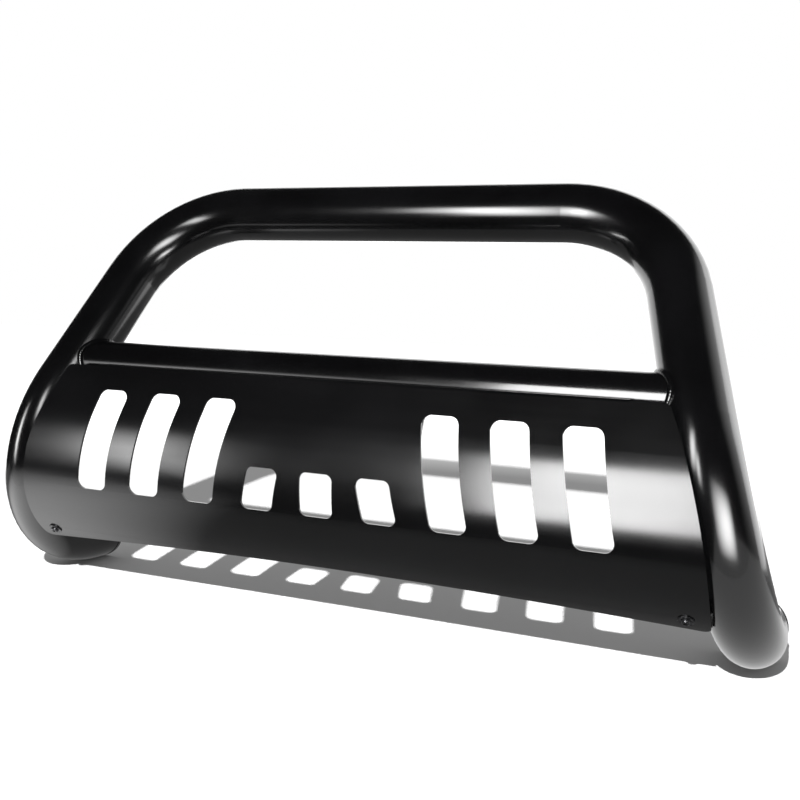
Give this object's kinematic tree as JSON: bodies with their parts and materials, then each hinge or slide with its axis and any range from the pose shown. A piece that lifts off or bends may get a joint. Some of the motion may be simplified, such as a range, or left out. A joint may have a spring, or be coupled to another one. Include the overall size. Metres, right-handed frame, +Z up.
{
  "type": "front grille guard",
  "caption": "Black bull bar: a bent tube hoop with a coped cross tube and a rolled, slotted skid plate, bolted to a vehicle's frame at its two rear ends.",
  "frame": {"origin": "midway between the two rear ends, on the rear faces of their end plates, at the height of the tube's axis", "axes": "+Z up, +Y rearward towards the vehicle, +X to the right as seen from in front of the guard"},
  "size_m": [1.0538, 0.2555, 0.573],
  "materials": {
    "gloss_coat": "gloss black powder coat on steel tube",
    "satin_coat": "satin black powder coat on steel sheet",
    "black_oxide": "black coated steel",
    "zinc_steel": "bright zinc plate",
    "rubber": "matt black rubber"
  },
  "bodies": {
    "root": {"main_hoop": "gloss_coat", "cross_tube": "gloss_coat", "cross_tube_weld_left": "gloss_coat", "cross_tube_weld_right": "gloss_coat", "skid_plate": "satin_coat", "lower_tab_left": "gloss_coat", "lower_tab_right": "gloss_coat", "lower_tab_weld_left": "gloss_coat", "lower_tab_weld_right": "gloss_coat", "upper_bracket_left": "gloss_coat", "upper_bracket_right": "gloss_coat", "upper_bracket_weld_left": "gloss_coat", "upper_bracket_weld_right": "gloss_coat", "end_plate_left": "gloss_coat", "end_plate_right": "gloss_coat", "end_plate_weld_left": "gloss_coat", "end_plate_weld_right": "gloss_coat", "mount_nuts": "zinc_steel", "lower_screws": "black_oxide", "lower_front_washers": "black_oxide", "lower_back_washers": "zinc_steel", "lower_spring_washers": "zinc_steel", "lower_nuts": "zinc_steel", "plate_studs": "zinc_steel", "stud_rubber_washers": "rubber", "stud_washers": "zinc_steel", "stud_spring_washers": "zinc_steel", "stud_nuts": "zinc_steel"}
  },
  "joints": []
}
